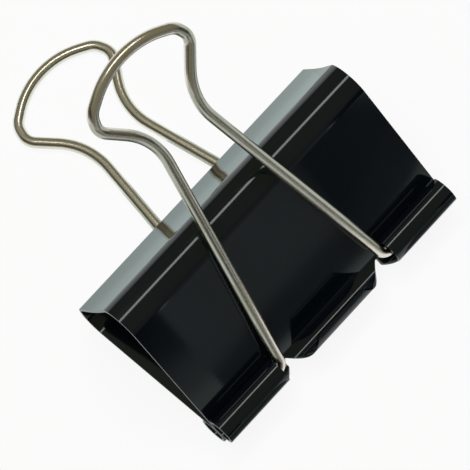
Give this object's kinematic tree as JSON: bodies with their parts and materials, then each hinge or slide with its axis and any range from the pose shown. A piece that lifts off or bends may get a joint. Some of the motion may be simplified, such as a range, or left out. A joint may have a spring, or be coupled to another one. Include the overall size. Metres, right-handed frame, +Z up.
{
  "type": "binder clip",
  "caption": "Spring clip for holding a stack of paper: a wedge of bent black sheet steel with rolled lips and fold-back wire handles.",
  "frame": {"origin": "middle of the footprint, on the ground that the clip lies on", "axes": "+X along the lips, +Y the way the lying rear handle points, +Z up"},
  "size_m": [0.051, 0.0666, 0.0581],
  "materials": {
    "black_enamel": "gloss",
    "nickel_plate": "polished"
  },
  "bodies": {
    "spine": {"spine": "black_enamel"},
    "front_jaw": {"front_jaw": "black_enamel"},
    "rear_jaw": {"rear_jaw": "black_enamel"},
    "front_handle": {"front_handle": "nickel_plate"},
    "rear_handle": {"rear_handle": "nickel_plate"}
  },
  "joints": [
    {"name": "front_jaw_flex", "type": "hinge", "parent": "spine", "child": "front_jaw", "pos_m": [0, -0.01337, 0.027], "axis": [-1, 0, 0], "range_deg": [0, 24], "stiffness_Nm_per_rad": 3},
    {"name": "rear_jaw_flex", "type": "hinge", "parent": "spine", "child": "rear_jaw", "pos_m": [0, -0.00196, 0.00483], "axis": [1, 0, 0], "range_deg": [0, 24], "stiffness_Nm_per_rad": 3},
    {"name": "front_handle_hinge", "type": "hinge", "parent": "front_jaw", "child": "front_handle", "pos_m": [0, -0.03101, 0.00666], "axis": [1, 0, 0], "range_deg": [0, 150]},
    {"name": "rear_handle_hinge", "type": "hinge", "parent": "rear_jaw", "child": "rear_handle", "pos_m": [0, -0.02877, 0.0023], "axis": [-1, 0, 0], "range_deg": [0, 150]}
  ]
}
